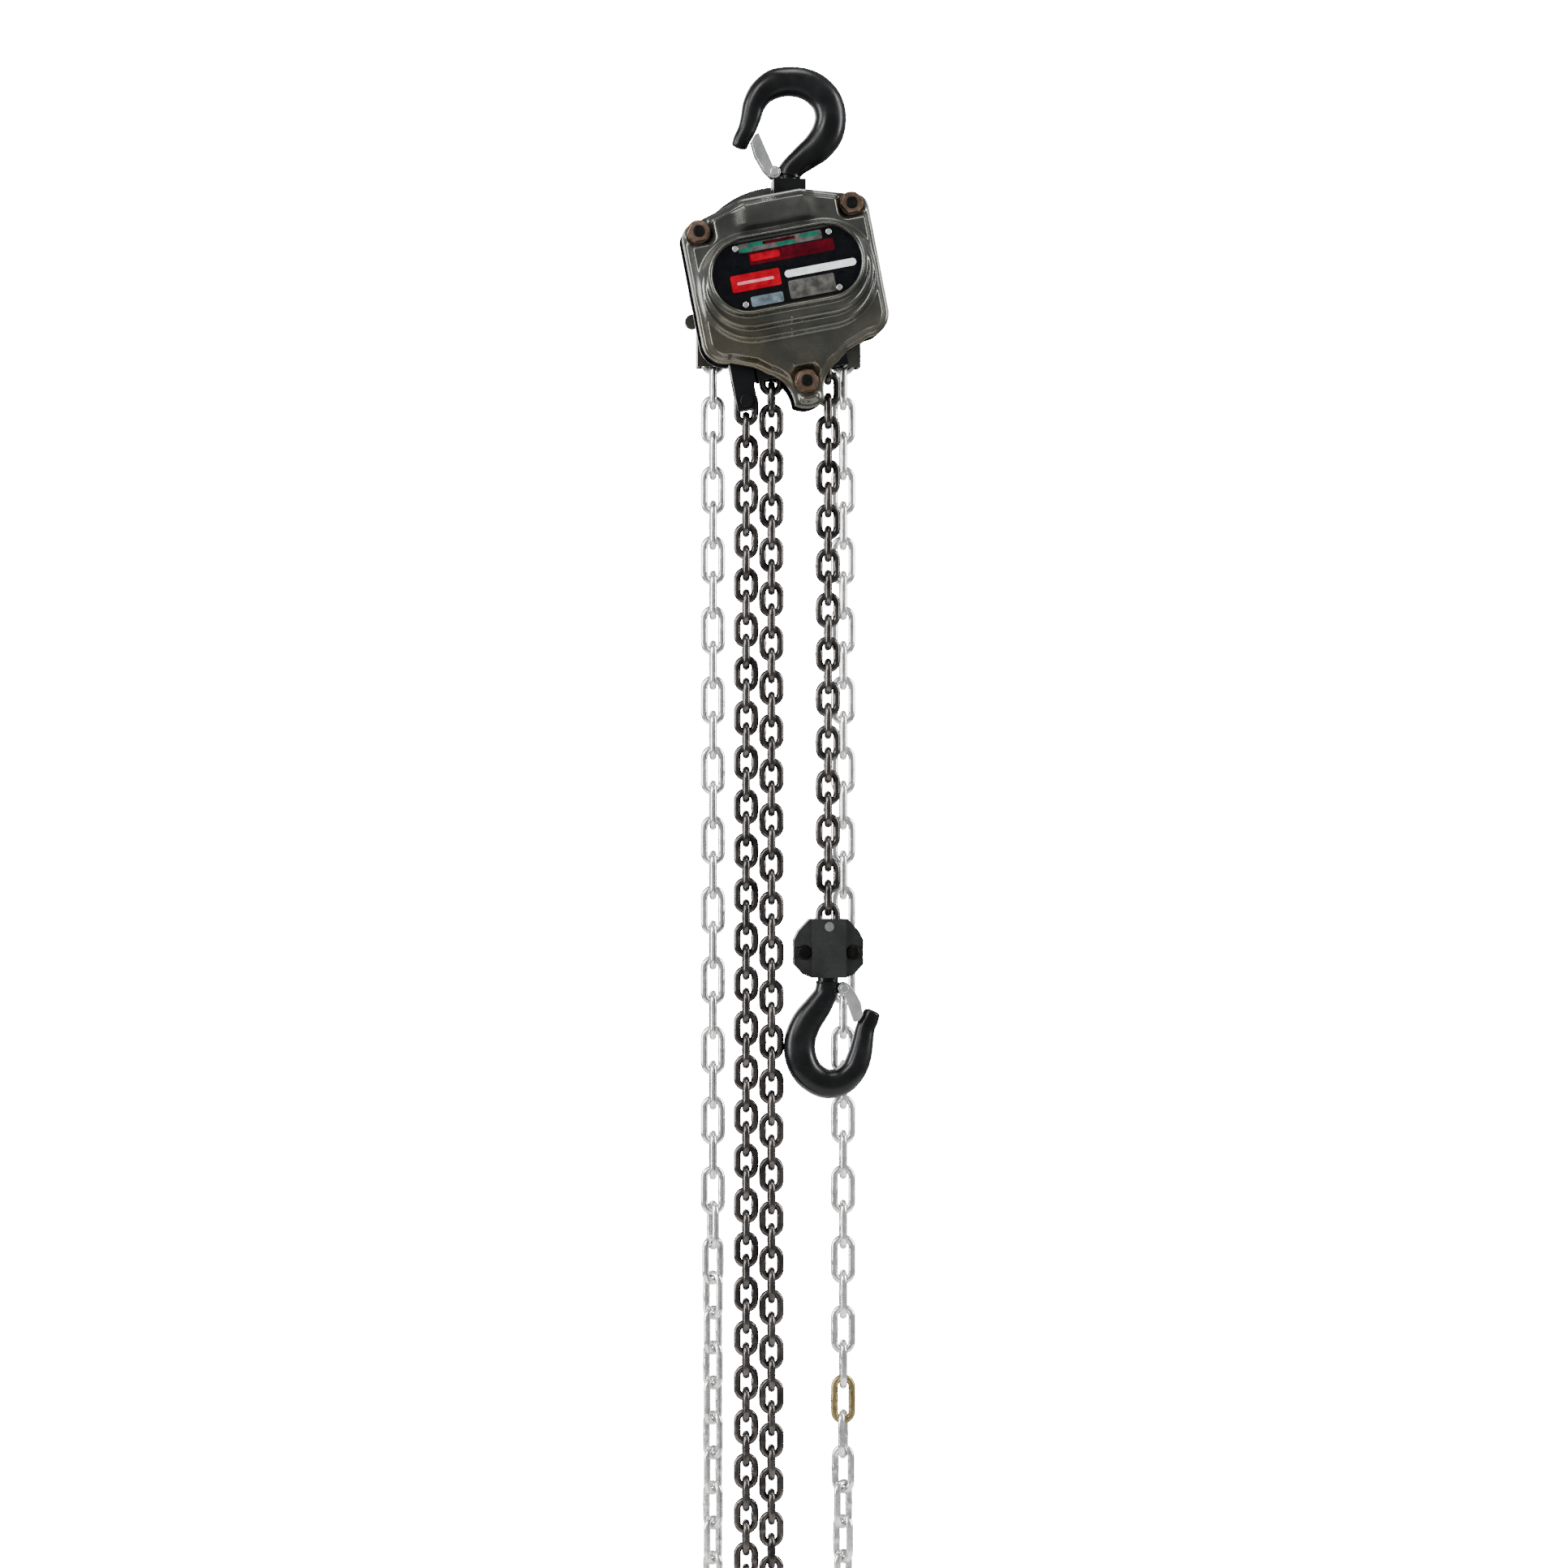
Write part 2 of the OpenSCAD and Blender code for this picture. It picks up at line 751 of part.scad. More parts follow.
// the strands leave the cover straight down, whatever the tilt of the body
module wheel_cover() {
    color(cover_grey) in_body() difference() {
        union() {
            rod(61, 36, 66);
            translate([0, 36, 0]) rotate([-90, 0, 0]) cylinder(r1 = 63, r2 = 61, h = 4);
            rod(52, 66, 69);
            rotate([0, body_tilt, 0]) for (s = [-1, 1])
                translate([s * hand_x - 11.2, 36.2, -60]) cube([22.4, 22.3, 40]);
            at_each(bolt_spots) rod(8, plate_y, 44);
            translate([-5, 36, -70]) cube([10, 8, 12]);
            translate([-64, 0, -17.5]) rod(5, 36, 44);
        }
        difference() {
            rod(58.5, 30, 63.5);
            at_each(bolt_spots) rod(8, plate_y, 44);
        }
        rod(49, 60, 66.5);
        rotate([0, body_tilt, 0]) for (s = [-1, 1])
            translate([s * hand_x - 9.4, 37, -100]) cube([18.8, 20, 100]);
        at_each(bolt_spots) rod(4, 0, 60);
        at_each(bolt_spots) rod(9.5, 44, 60);
    }
}

// ---------- chains ----------

sheave_points = [for (k = [0 : 4]) polar(load_r, 45 * k)];
right_points = [for (k = [4 : -1 : 1]) [load_r, -load_pitch * k]];
left_points = [for (k = [1 : 4]) [-load_r, -load_pitch * k]];

module load_chain_in_body() {
    color(dark_steel) in_body()
        chain_through(concat(right_points, sheave_points, left_points), load_pitch, load_wire, load_bend, 0);
}

module load_chain_run() {
    color(dark_steel) chain_through(
        [for (k = [0 : run_links]) [run_top[0], run_top[1] - load_pitch * k]],
        load_pitch, load_wire, load_bend, 1
    );
}

slack_top = in_row([-load_r, guide_z]);
dead_top = in_row(dead_end) + [0, 3];
slack_links = round((slack_top[1] - loop_z) / load_pitch);
slack_low = slack_top - [0, load_pitch * slack_links];
dead_links = round((dead_top[1] - slack_low[1]) / load_pitch);
dead_low = dead_top - [0, load_pitch * dead_links];
turn_chord = dead_low - slack_low;
turn_drop = sqrt(pow(load_pitch, 2) - pow(norm(turn_chord) / 2, 2));
turn_point = (slack_low + dead_low) / 2 + turn_drop * [-turn_chord[1], turn_chord[0]] / norm(turn_chord);

module load_chain_slack_loop() {
    color(dark_steel) chain_through(
        concat(
            [for (k = [0 : slack_links]) slack_top - [0, load_pitch * k]],
            [turn_point],
            [for (k = [dead_links : -1 : 0]) dead_top - [0, load_pitch * k]]
        ),
        load_pitch, load_wire, load_bend, 0
    );
}

// the hand chain goes over the wheel as part of a regular polygon, and hangs straight from its sides
wheel_points = [for (k = [0 : hand_links / 2 + 1]) polar(hand_r, 360 * k / hand_links - 180 / hand_links)];
strand_top = -hand_r * sin(180 / hand_links);
strand_links = floor((main_z - loop_z) / hand_pitch);
strand_low = strand_top - hand_pitch * strand_links;
loop_points = concat(
    [for (k = [0 : strand_links]) [hand_x, strand_top - hand_pitch * k]],
    [for (k = [1 : hand_links / 2 - 2])
        polar(hand_r, -360 * (k + 0.5) / hand_links) + [0, strand_low - strand_top]],
    [for (k = [strand_links : -1 : 0]) [-hand_x, strand_top - hand_pitch * k]]
);
loop_last = len(loop_points) - 2;
join_at = 31;
twist_right = 31;
twist_left = loop_last - 25;

// the lower end of the loop has turned an eighth of a turn out of the wheel's plane
function loop_twist(i) = 15 * max(0, min(3, i - twist_right, twist_left - i));

module hand_link(i) {
    link_between(loop_points[i], loop_points[i + 1], hand_pitch, hand_wire, hand_bend,
        (i % 2 == 0 ? 90 : 0) + loop_twist(i));
}

module hand_chain_on_wheel() {
    color(zinc) translate([main_x, hand_y, main_z])
        chain_through(wheel_points, hand_pitch, hand_wire, hand_bend, 0);
}

module hand_chain_loop() {
    color(zinc) translate([main_x, hand_y, main_z])
        for (i = [0 : loop_last]) if (i != join_at) hand_link(i);
}

module hand_chain_join_link() {
    color(bronze) translate([main_x, hand_y, main_z]) hand_link(join_at);
}

// ---------- bottom block and hook ----------

block_top = -557.5;
block_low = -597;

module block_outline() {
    polygon([
        [-13, block_top], [13, block_top], [20.5, block_top - 8], [23.5, block_top - 14],
        [23.5, block_low + 9], [17, block_low + 2], [12, block_low],
        [-12, block_low], [-17, block_low + 2], [-23.5, block_low + 9],
        [-23.5, block_top - 14], [-20.5, block_top - 8]
    ]);
}

block_bolt_spots = [[-16.5, -580], [16.5, -580]];

// one forged half; side is -1 at the front and 1 at the rear
module block_half(side) {
    translate([block_x, 0, 0]) difference() {
        union() {
            deep(side < 0 ? -13 : 0, side < 0 ? 0 : 13) intersection() {
                block_outline();
                translate([-11.5, -700]) square([23, 200]);
            }
            deep(side < 0 ? -8 : 0, side < 0 ? 0 : 8) block_outline();
        }
        translate([0, 0, block_z - 9.5]) linear_extrude(height = 60) cross_channel();
        translate([0, 0, block_z]) rod(chain_pin_r, -20, 20);
        at_each(block_bolt_spots) rod(2.5, -20, 20);
        translate([0, 0, -592.9]) cylinder(r = 10.4, h = 12);
        translate([0, 0, -610]) cylinder(r = 7 + fit, h = 20);
        for (p = block_bolt_spots) translate([p[0], side * 15.5, p[1]]) {
            rod(5, -10, 10);
            translate([p[0] < 0 ? -20 : 0, -10, -4]) cube([20, 20, 8]);
        }
    }
}

module block_half_front() {
    color(black) block_half(-1);
}

module block_half_rear() {
    color(black) block_half(1);
}

module block_bolts() {
    color(dark_steel) translate([block_x, 0, 0]) at_each(block_bolt_spots) {
        rod(2.5, -5.5, 8.5);
        rod(4.4, -9.5, -5.5);
    }
}

module block_nuts() {
    color(dark_steel) translate([block_x, 0, 0]) at_each(block_bolt_spots) difference() {
        deep(5.5, 9.5) hexagon(8);
        rod(2.5, 0, 20);
    }
}

module block_chain_pin() {
    color(steel) translate([block_x, 0, block_z]) rod(chain_pin_r, -12.5, 12.5);
}

module block_thrust_bearing() {
    color(steel) translate([block_x, 0, 0]) {
        for (z = [-592.9, -589.7]) translate([0, 0, z]) difference() {
            cylinder(r = 10.3, h = 1);
            translate([0, 0, -1]) cylinder(r = 7.1, h = 4);
        }
        for (k = [0 : 11]) rotate([0, 0, 30 * k]) translate([8.7, 0, -590.8]) sphere(d = 2.1, $fn = 16);
    }
}

module bottom_hook() {
    color(black) {
        difference() {
            union() {
                swept_hook(bottom_stations);
                translate([block_x, 0, -601]) cylinder(r = 7, h = 17);
            }
            latch_room(bottom_pivot);
        }
        latch_lug(bottom_pivot, [26, -604.5]);
    }
}

module bottom_hook_nut() {
    color(steel) translate([block_x, 0, -588.6]) difference() {
        cylinder(r = 10, h = 5, $fn = 6);
        translate([0, 0, -1]) cylinder(r = 7, h = 8);
    }
}

module bottom_latch() {
    color(zinc) latch_channel(bottom_pivot, bottom_rest);
}

module bottom_latch_spring() {
    color(steel) latch_coils(bottom_pivot);
}

module bottom_latch_rivet() {
    color(zinc) latch_rivet(bottom_pivot);
}

top_hook();
top_latch();
top_latch_spring();
top_latch_rivet();
top_thrust_washer();
top_hook_nut();
top_yoke();
suspension_pin();
gear_side_plate();
wheel_side_plate();
stay_bolts();
gear_side_nuts();
wheel_side_nuts();
gear_case();
gear_case_gasket();
nameplate();
nameplate_rivets();
load_sheave();
sheave_bearings();
load_gear();
load_gear_clip();
disc_gear_left();
disc_gear_right();
disc_gear_bushes();
drive_shaft();
chain_guide();
chain_stripper();
dead_end_pin();
friction_hub();
friction_discs();
ratchet_disc();
pawl_left();
pawl_right();
pawl_pins();
pawl_springs();
brake_cover();
hand_wheel();
wheel_nut();
split_pin();
wheel_cover();
load_chain_in_body();
load_chain_run();
load_chain_slack_loop();
hand_chain_on_wheel();
hand_chain_loop();
hand_chain_join_link();
block_half_front();
block_half_rear();
block_bolts();
block_nuts();
block_chain_pin();
block_thrust_bearing();
bottom_hook();
bottom_hook_nut();
bottom_latch();
bottom_latch_spring();
bottom_latch_rivet();
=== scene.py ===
"""A half-tonne hand chain hoist hanging by its top hook. Metres, in the frame of the CAD model."""

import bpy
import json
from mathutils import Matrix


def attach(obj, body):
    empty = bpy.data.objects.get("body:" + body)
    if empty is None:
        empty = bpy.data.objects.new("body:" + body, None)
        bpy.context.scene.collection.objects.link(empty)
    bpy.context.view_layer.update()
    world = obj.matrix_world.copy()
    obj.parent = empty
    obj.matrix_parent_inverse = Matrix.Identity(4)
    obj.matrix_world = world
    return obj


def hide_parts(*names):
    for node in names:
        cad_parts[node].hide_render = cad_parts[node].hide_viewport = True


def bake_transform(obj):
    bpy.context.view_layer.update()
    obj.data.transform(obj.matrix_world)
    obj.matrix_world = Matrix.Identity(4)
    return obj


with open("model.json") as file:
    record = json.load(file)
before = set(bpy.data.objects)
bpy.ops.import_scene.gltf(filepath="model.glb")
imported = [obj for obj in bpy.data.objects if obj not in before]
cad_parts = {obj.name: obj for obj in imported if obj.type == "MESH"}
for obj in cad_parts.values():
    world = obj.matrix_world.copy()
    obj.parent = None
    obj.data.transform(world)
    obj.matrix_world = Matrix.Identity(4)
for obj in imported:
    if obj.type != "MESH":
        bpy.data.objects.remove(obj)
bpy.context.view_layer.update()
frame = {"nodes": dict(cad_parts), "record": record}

import json
import math

import bpy
import numpy as np
from mathutils import Matrix, Vector

NODES = frame["nodes"]
MM = 0.001

# The hoist's body is upright about its main shaft and leans by this much, as in part.scad.
TILT = math.radians(11)
MAIN = Vector((-3.8, 0, -120.5)) * MM
BODY = Matrix.Translation(MAIN) @ Matrix.Rotation(-TILT, 4, "Y")

LOAD_PITCH, LOAD_WIRE = 15 * MM, 4.9 * MM
HAND_PITCH, HAND_WIRE, HAND_LINKS = 24 * MM, 4.9 * MM, 12
BEND, PLAY = 6 * MM, 0.45 * MM
RUN_LINKS, LIFT_LINKS = 26, 22
LOOP_Z = -1.030
HAND_Y = 47 * MM

# Places in the body's own millimetres, as in part.scad.
GUIDE_Z = -60
DEAD_END = (-41, -80)
PLATE_FACE_Y = -18
NAMEPLATE_FACE_Y = -42.6


# ---------- camera, lights and stage ----------

def make_camera():
    """A long lens, level with the middle of the hoist and a little to its left."""
    target = Vector((-0.003, 0, -0.466))
    distance, azimuth, seen_width = 3.6, math.radians(-4), 1.0626
    data = bpy.data.cameras.new("camera")
    data.sensor_width = 36
    data.lens = 36 * distance / seen_width
    data.clip_end = 60
    camera = bpy.data.objects.new("camera", data)
    camera.location = target + distance * Vector((math.sin(azimuth), -math.cos(azimuth), 0))
    camera.rotation_euler = (math.radians(90), 0, azimuth)
    bpy.context.scene.collection.objects.link(camera)
    bpy.context.scene.camera = camera


def make_area(name, location, target, size, watts):
    data = bpy.data.lights.new(name, "AREA")
    data.shape = "RECTANGLE"
    data.size, data.size_y = size
    data.energy = watts
    lamp = bpy.data.objects.new(name, data)
    lamp.location = location
    lamp.rotation_euler = (Vector(target) - Vector(location)).to_track_quat("-Z", "Y").to_euler()
    bpy.context.scene.collection.objects.link(lamp)


def make_world():
    """White to the camera, a dimmer soft white to everything that it lights."""
    world = bpy.data.worlds.new("studio")
    world.use_nodes = True
    tree = world.node_tree
    tree.nodes.clear()
    out = tree.nodes.new("ShaderNodeOutputWorld")
    mix = tree.nodes.new("ShaderNodeMixShader")
    path = tree.nodes.new("ShaderNodeLightPath")
    soft = tree.nodes.new("ShaderNodeBackground")
    soft.inputs["Color"].default_value = (0.96, 0.98, 1.0, 1)
    soft.inputs["Strength"].default_value = 0.42
    seen = tree.nodes.new("ShaderNodeBackground")
    seen.inputs["Color"].default_value = (1, 1, 1, 1)
    seen.inputs["Strength"].default_value = 25.0
    tree.links.new(path.outputs["Is Camera Ray"], mix.inputs["Fac"])
    tree.links.new(soft.outputs[0], mix.inputs[1])
    tree.links.new(seen.outputs[0], mix.inputs[2])
    tree.links.new(mix.outputs[0], out.inputs["Surface"])
    bpy.context.scene.world = world


def make_floor():
    """A pale round floor under the chains."""
    mesh = bpy.data.meshes.new("floor")
    radius, height, sides = 0.95, -1.16, 96
    angles = [math.tau * k / sides for k in range(sides)]
    ring = [(radius * math.cos(a), radius * math.sin(a), height) for a in angles]
    mesh.from_pydata(ring, [], [tuple(range(sides))])
    floor = bpy.data.objects.new("floor", mesh)
    bpy.context.scene.collection.objects.link(floor)
    mesh.materials.append(rough_coat("floor_paint", (0.80, 0.80, 0.79), (0.76, 0.76, 0.75), 0.6, 0.0, 9))


# ---------- materials ----------

class Shader:
    """A material with one Principled node, and short calls for the nodes in front of it."""

    def __init__(self, name):
        self.material = bpy.data.materials.new(name)
        self.material.use_nodes = True
        self.tree = self.material.node_tree
        self.bsdf = self.tree.nodes["Principled BSDF"]
        self.coords = self.tree.nodes.new("ShaderNodeTexCoord").outputs["Object"]

    def noise(self, scale, detail=4.0, rough=0.55, stretch=None):
        node = self.tree.nodes.new("ShaderNodeTexNoise")
        node.inputs["Scale"].default_value = scale
        node.inputs["Detail"].default_value = detail
        node.inputs["Roughness"].default_value = rough
        source = self.coords
        if stretch:
            mapping = self.tree.nodes.new("ShaderNodeMapping")
            mapping.inputs["Scale"].default_value = stretch
            self.tree.links.new(source, mapping.inputs["Vector"])
            source = mapping.outputs["Vector"]
        self.tree.links.new(source, node.inputs["Vector"])
        return node.outputs["Fac"]

    def ramp(self, value, stops):
        node = self.tree.nodes.new("ShaderNodeValToRGB")
        ends = node.color_ramp.elements
        while len(ends) < len(stops):
            ends.new(0.5)
        for end, (place, colour) in zip(ends, stops):
            end.position = place
            end.color = (*colour, 1) if hasattr(colour, "__len__") else (colour, colour, colour, 1)
        self.tree.links.new(value, node.inputs["Fac"])
        return node.outputs["Color"]

    def mix(self, share, a, b):
        node = self.tree.nodes.new("ShaderNodeMix")
        node.data_type = "RGBA"
        # the node has one set of sockets for each kind of data: these are the colour ones
        for socket, value in ((node.inputs[0], share), (node.inputs[6], a), (node.inputs[7], b)):
            if isinstance(value, bpy.types.NodeSocket):
                self.tree.links.new(value, socket)
            elif socket.type == "RGBA":
                socket.default_value = (*value, 1)
            else:
                socket.default_value = value
        return node.outputs[2]

    def low_share(self, low, high, most):
        """The given share at the height low, fading to none at the height high, with a ragged border."""
        split = self.tree.nodes.new("ShaderNodeSeparateXYZ")
        self.tree.links.new(self.coords, split.inputs["Vector"])
        height = self.tree.nodes.new("ShaderNodeMapRange")
        self.tree.links.new(split.outputs["Z"], height.inputs["Value"])
        height.inputs["From Min"].default_value = low
        height.inputs["From Max"].default_value = high
        height.inputs["To Min"].default_value = most
        height.inputs["To Max"].default_value = 0.0
        cloud = self.tree.nodes.new("ShaderNodeMath")
        cloud.operation = "MULTIPLY"
        self.tree.links.new(height.outputs["Result"], cloud.inputs[0])
        self.tree.links.new(self.ramp(self.noise(17, 2.0), [(0.40, 0.10), (0.60, 1.0)]), cloud.inputs[1])
        return cloud.outputs["Value"]

    def set(self, socket, value):
        target = self.bsdf.inputs[socket]
        if isinstance(value, bpy.types.NodeSocket):
            self.tree.links.new(value, target)
        else:
            target.default_value = value

    def bump(self, height, distance, strength=0.5):
        node = self.tree.nodes.new("ShaderNodeBump")
        node.inputs["Strength"].default_value = strength
        node.inputs["Distance"].default_value = distance
        self.tree.links.new(height, node.inputs["Height"])
        self.tree.links.new(node.outputs["Normal"], self.bsdf.inputs["Normal"])


def rough_coat(name, light, dark, rough, metal, scale, grain=1800.0, depth=0.00006, specular=0.4):
    """Mottled between two near colours, with uneven gloss and a fine grain."""
    s = Shader(name)
    s.set("Base Color", s.ramp(s.noise(scale), [(0.32, dark), (0.68, light)]))
    s.set("Roughness", s.ramp(s.noise(scale * 3.1), [(0.3, rough * 0.75), (0.7, min(1, rough * 1.25))]))
    s.set("Metallic", metal)
    s.set("Specular IOR Level", specular)
    s.bump(s.noise(grain, 2.0), depth)
    return s.material


def print_ink(name, light, dark):
    """Screen-printed ink on the plate, nearly without shine."""
    return rough_coat(name, light, dark, 0.42, 0.0, 160, specular=0.08)


def enamel(name, light, dark, worn, rough, specular=0.22):
    """Glossy paint over steel: orange peel, uneven gloss and dull handling marks."""
    s = Shader(name)
    tone = s.ramp(s.noise(38), [(0.3, dark), (0.7, light)])
    marks = s.ramp(s.noise(420, 5.0, 0.7), [(0.62, 0.0), (0.74, 0.22)])
    tone = s.mix(marks, tone, worn)
    s.set("Base Color", tone)
    s.set("Roughness", s.ramp(s.noise(70, 3.0), [(0.3, rough * 0.75), (0.72, rough * 1.45)]))
    s.set("Specular IOR Level", specular)
    s.bump(s.noise(900, 2.0), 0.00005)
    return s.material


def gunmetal(name, light, dark, warm, bright, rough):
    """Metallic paint on pressed steel: cool clouds, a warm cast toward the bottom, and faint scuffs."""
    s = Shader(name)
    tone = s.ramp(s.noise(30, 3.0), [(0.3, dark), (0.7, light)])
    tone = s.mix(s.low_share(-0.225, -0.130, 0.7), tone, warm)
    tone = s.mix(s.ramp(s.noise(520, 5.0, 0.7), [(0.64, 0.0), (0.78, 0.14)]), tone, bright)
    s.set("Base Color", tone)
    s.set("Metallic", 0.8)
    s.set("Roughness", s.ramp(s.noise(60, 3.0), [(0.3, rough * 0.7), (0.72, rough * 1.4)]))
    s.bump(s.noise(800, 2.0), 0.00002)
    return s.material


def plated(name, light, dark, tint, rough, stain=0.45):
    """Plated or blackened metal: cloudy tone, fine stained spots and uneven gloss."""
    s = Shader(name)
    tone = s.ramp(s.noise(55, 4.0), [(0.3, dark), (0.65, light)])
    tone = s.mix(s.ramp(s.noise(160, 4.0, 0.65), [(0.52, 0.0), (0.74, stain)]), tone, tint)
    s.set("Base Color", tone)
    s.set("Metallic", 0.95)
    s.set("Roughness", s.ramp(s.noise(260, 3.0), [(0.3, rough * 0.7), (0.7, rough * 1.4)]))
    s.bump(s.noise(1500, 2.0), 0.00004)
    return s.material


def machined(name, light, dark, rough):
    """Turned steel: fine drawn lines and a thin film of oil."""
    s = Shader(name)
    lines = s.noise(700, 3.0, 0.6, (1.0, 0.08, 1.0))
    s.set("Base Color", s.ramp(lines, [(0.25, dark), (0.75, light)]))
    s.set("Metallic", 1.0)
    s.set("Roughness", s.ramp(s.noise(90), [(0.3, rough * 0.7), (0.7, rough * 1.3)]))
    s.bump(lines, 0.00003, 0.4)
    return s.material


def make_materials():
    return {
        "black_paint": enamel("black_enamel", (0.005, 0.005, 0.006), (0.002, 0.002, 0.002),
                              (0.05, 0.05, 0.05), 0.30),
        # the cast block's enamel: a lighter copy of the black enamel whose lighter grey is painted sheen,
        # with more real shine from its higher specular
        "block_paint_painted_sheen": enamel("block_enamel_painted_sheen", (0.016, 0.016, 0.016), (0.005, 0.005, 0.005),
                              (0.10, 0.10, 0.10), 0.36, 0.34),
        "cover_paint": gunmetal("cover_gunmetal", (0.105, 0.107, 0.095), (0.050, 0.052, 0.046),
                                (0.135, 0.100, 0.045), (0.34, 0.34, 0.32), 0.24),
        "dark_steel": plated("blackened_steel", (0.020, 0.0195, 0.019), (0.007, 0.007, 0.007),
                             (0.034, 0.022, 0.015), 0.38),
        "bright_steel": machined("machined_steel", (0.62, 0.62, 0.63), (0.42, 0.42, 0.43), 0.24),
        "zinc": plated("bright_zinc", (0.86, 0.86, 0.84), (0.55, 0.55, 0.55), (0.40, 0.39, 0.35), 0.20),
        "yellow_zinc": plated("yellow_zinc", (0.24, 0.165, 0.12), (0.12, 0.078, 0.054),
                              (0.08, 0.035, 0.022), 0.36),
        "load_chain": plated("chain_black", (0.105, 0.098, 0.092), (0.022, 0.021, 0.021),
                             (0.15, 0.115, 0.09), 0.24),
        "bronze": machined("bearing_bronze", (0.55, 0.36, 0.15), (0.36, 0.21, 0.08), 0.32),
        "friction": rough_coat("friction_lining", (0.20, 0.15, 0.10), (0.09, 0.06, 0.04), 0.85, 0.0, 500,
                               900, 0.0003),
        "gasket": rough_coat("gasket_fibre", (0.12, 0.11, 0.10), (0.06, 0.055, 0.05), 0.9, 0.0, 300,
                             1500, 0.0002),
        "plate_print": print_ink("plate_black", (0.003, 0.003, 0.004), (0.001, 0.001, 0.002)),
        "olive_zinc": plated("olive_zinc", (0.30, 0.24, 0.11), (0.14, 0.11, 0.05), (0.10, 0.07, 0.03), 0.34),
        "print_red": print_ink("print_red", (0.34, 0.0, 0.010), (0.19, 0.0, 0.006)),
        "print_pink": print_ink("print_pink", (0.62, 0.20, 0.24), (0.42, 0.08, 0.11)),
        "print_maroon": print_ink("print_maroon", (0.075, 0.001, 0.006), (0.022, 0.000, 0.002)),
        "print_silver": print_ink("print_silver", (0.88, 0.91, 0.90), (0.60, 0.65, 0.64)),
        "print_grey": print_ink("print_grey", (0.100, 0.098, 0.090), (0.022, 0.022, 0.020)),
        "print_blue": print_ink("print_blue", (0.13, 0.17, 0.20), (0.03, 0.04, 0.05)),
        "print_teal": print_ink("print_teal", (0.008, 0.130, 0.080), (0.004, 0.060, 0.040)),
    }


# ---------- mesh helpers ----------

def make_piece(name, verts, faces, body, material, smooth=True):
    """A mesh object in the row frame, riding on a body. Verts may be an array in metres."""
    mesh = bpy.data.meshes.new(name)
    mesh.from_pydata([tuple(v) for v in verts], [], faces)
    mesh.validate()
    mesh.materials.append(MATERIALS[material])
    piece = bpy.data.objects.new(name, mesh)
    bpy.context.scene.collection.objects.link(piece)
    if smooth:
        mesh.shade_smooth()
    if body:
        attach(piece, body)
    return piece


def tube_faces(rings, sides, closed):
    """Quads between rings of points, and end caps on an open tube."""
    faces = []
    for i in range(rings if closed else rings - 1):
        a, b = i * sides, (i + 1) % rings * sides
        for k in range(sides):
            faces.append((a + k, b + k, b + (k + 1) % sides, a + (k + 1) % sides))
    if not closed:
        faces.append(tuple(range(sides)))
        faces.append(tuple(range(rings * sides - 1, (rings - 1) * sides - 1, -1)))
    return faces


def add_bevel(piece, width, segments=3, angle=35):
    """Rounds the hard edges of a CAD mesh with modifiers, which leaves the mesh itself as it is."""
    weld = piece.modifiers.new("weld", "WELD")
    weld.merge_threshold = 0.00001
    flat = piece.modifiers.new("flat", "DECIMATE")
    flat.decimate_type = "DISSOLVE"
    flat.angle_limit = math.radians(0.5)
    bevel = piece.modifiers.new("bevel", "BEVEL")
    bevel.width = width
    bevel.segments = segments
    bevel.limit_method = "ANGLE"
    bevel.angle_limit = math.radians(angle)
    bevel.use_clamp_overlap = True
    bevel.harden_normals = True


# ---------- chain ----------

def polar(radius, degrees):
    return np.array([radius * math.cos(math.radians(degrees)), radius * math.sin(math.radians(degrees))])


def link_shape(pitch, wire, stations=40, sides=12):
    """One welded link, long way up, flat in XZ, with its weld bead on one side."""
    straight = pitch + wire + PLAY - 2 * BEND
    arc = math.pi * BEND
    total = 2 * straight + 2 * arc
    rings = []
    for i in range(stations):
        s = total * i / stations
        if s < straight:
            centre, outward = (BEND, s - straight / 2), (1, 0)
        elif s < straight + arc:
            a = (s - straight) / BEND
            outward = (math.cos(a), math.sin(a))
            centre = (BEND * outward[0], straight / 2 + BEND * outward[1])
        elif s < 2 * straight + arc:
            centre, outward = (-BEND, straight / 2 - (s - straight - arc)), (-1, 0)
        else:
            a = math.pi + (s - 2 * straight - arc) / BEND
            outward = (math.cos(a), math.sin(a))
            centre = (BEND * outward[0], -straight / 2 + BEND * outward[1])
        bead = 1 + 0.09 * math.exp(-((s - straight / 2) / (0.35 * wire)) ** 2)
        for k in range(sides):
            c, t = math.cos(math.tau * k / sides), math.sin(math.tau * k / sides)
            r = wire / 2 * bead
            rings.append((centre[0] + outward[0] * r * c, r * t, centre[1] + outward[1] * r * c))
    return np.array(rings), tube_faces(stations, sides, True)


def place_link(shape, p, q, turn):
    """The link's points between two points of the XZ plane, turned about its own length."""
    c, s = math.cos(math.radians(turn)), math.sin(math.radians(turn))
    v = shape @ np.array([[c, s, 0], [-s, c, 0], [0, 0, 1]])
    along = (q - p) / np.linalg.norm(q - p)
    x = v[:, 0] * along[1] + v[:, 2] * along[0]
    z = -v[:, 0] * along[0] + v[:, 2] * along[1]
    middle = (p + q) / 2
    return np.stack([x + middle[0], v[:, 1], z + middle[1]], axis=1)


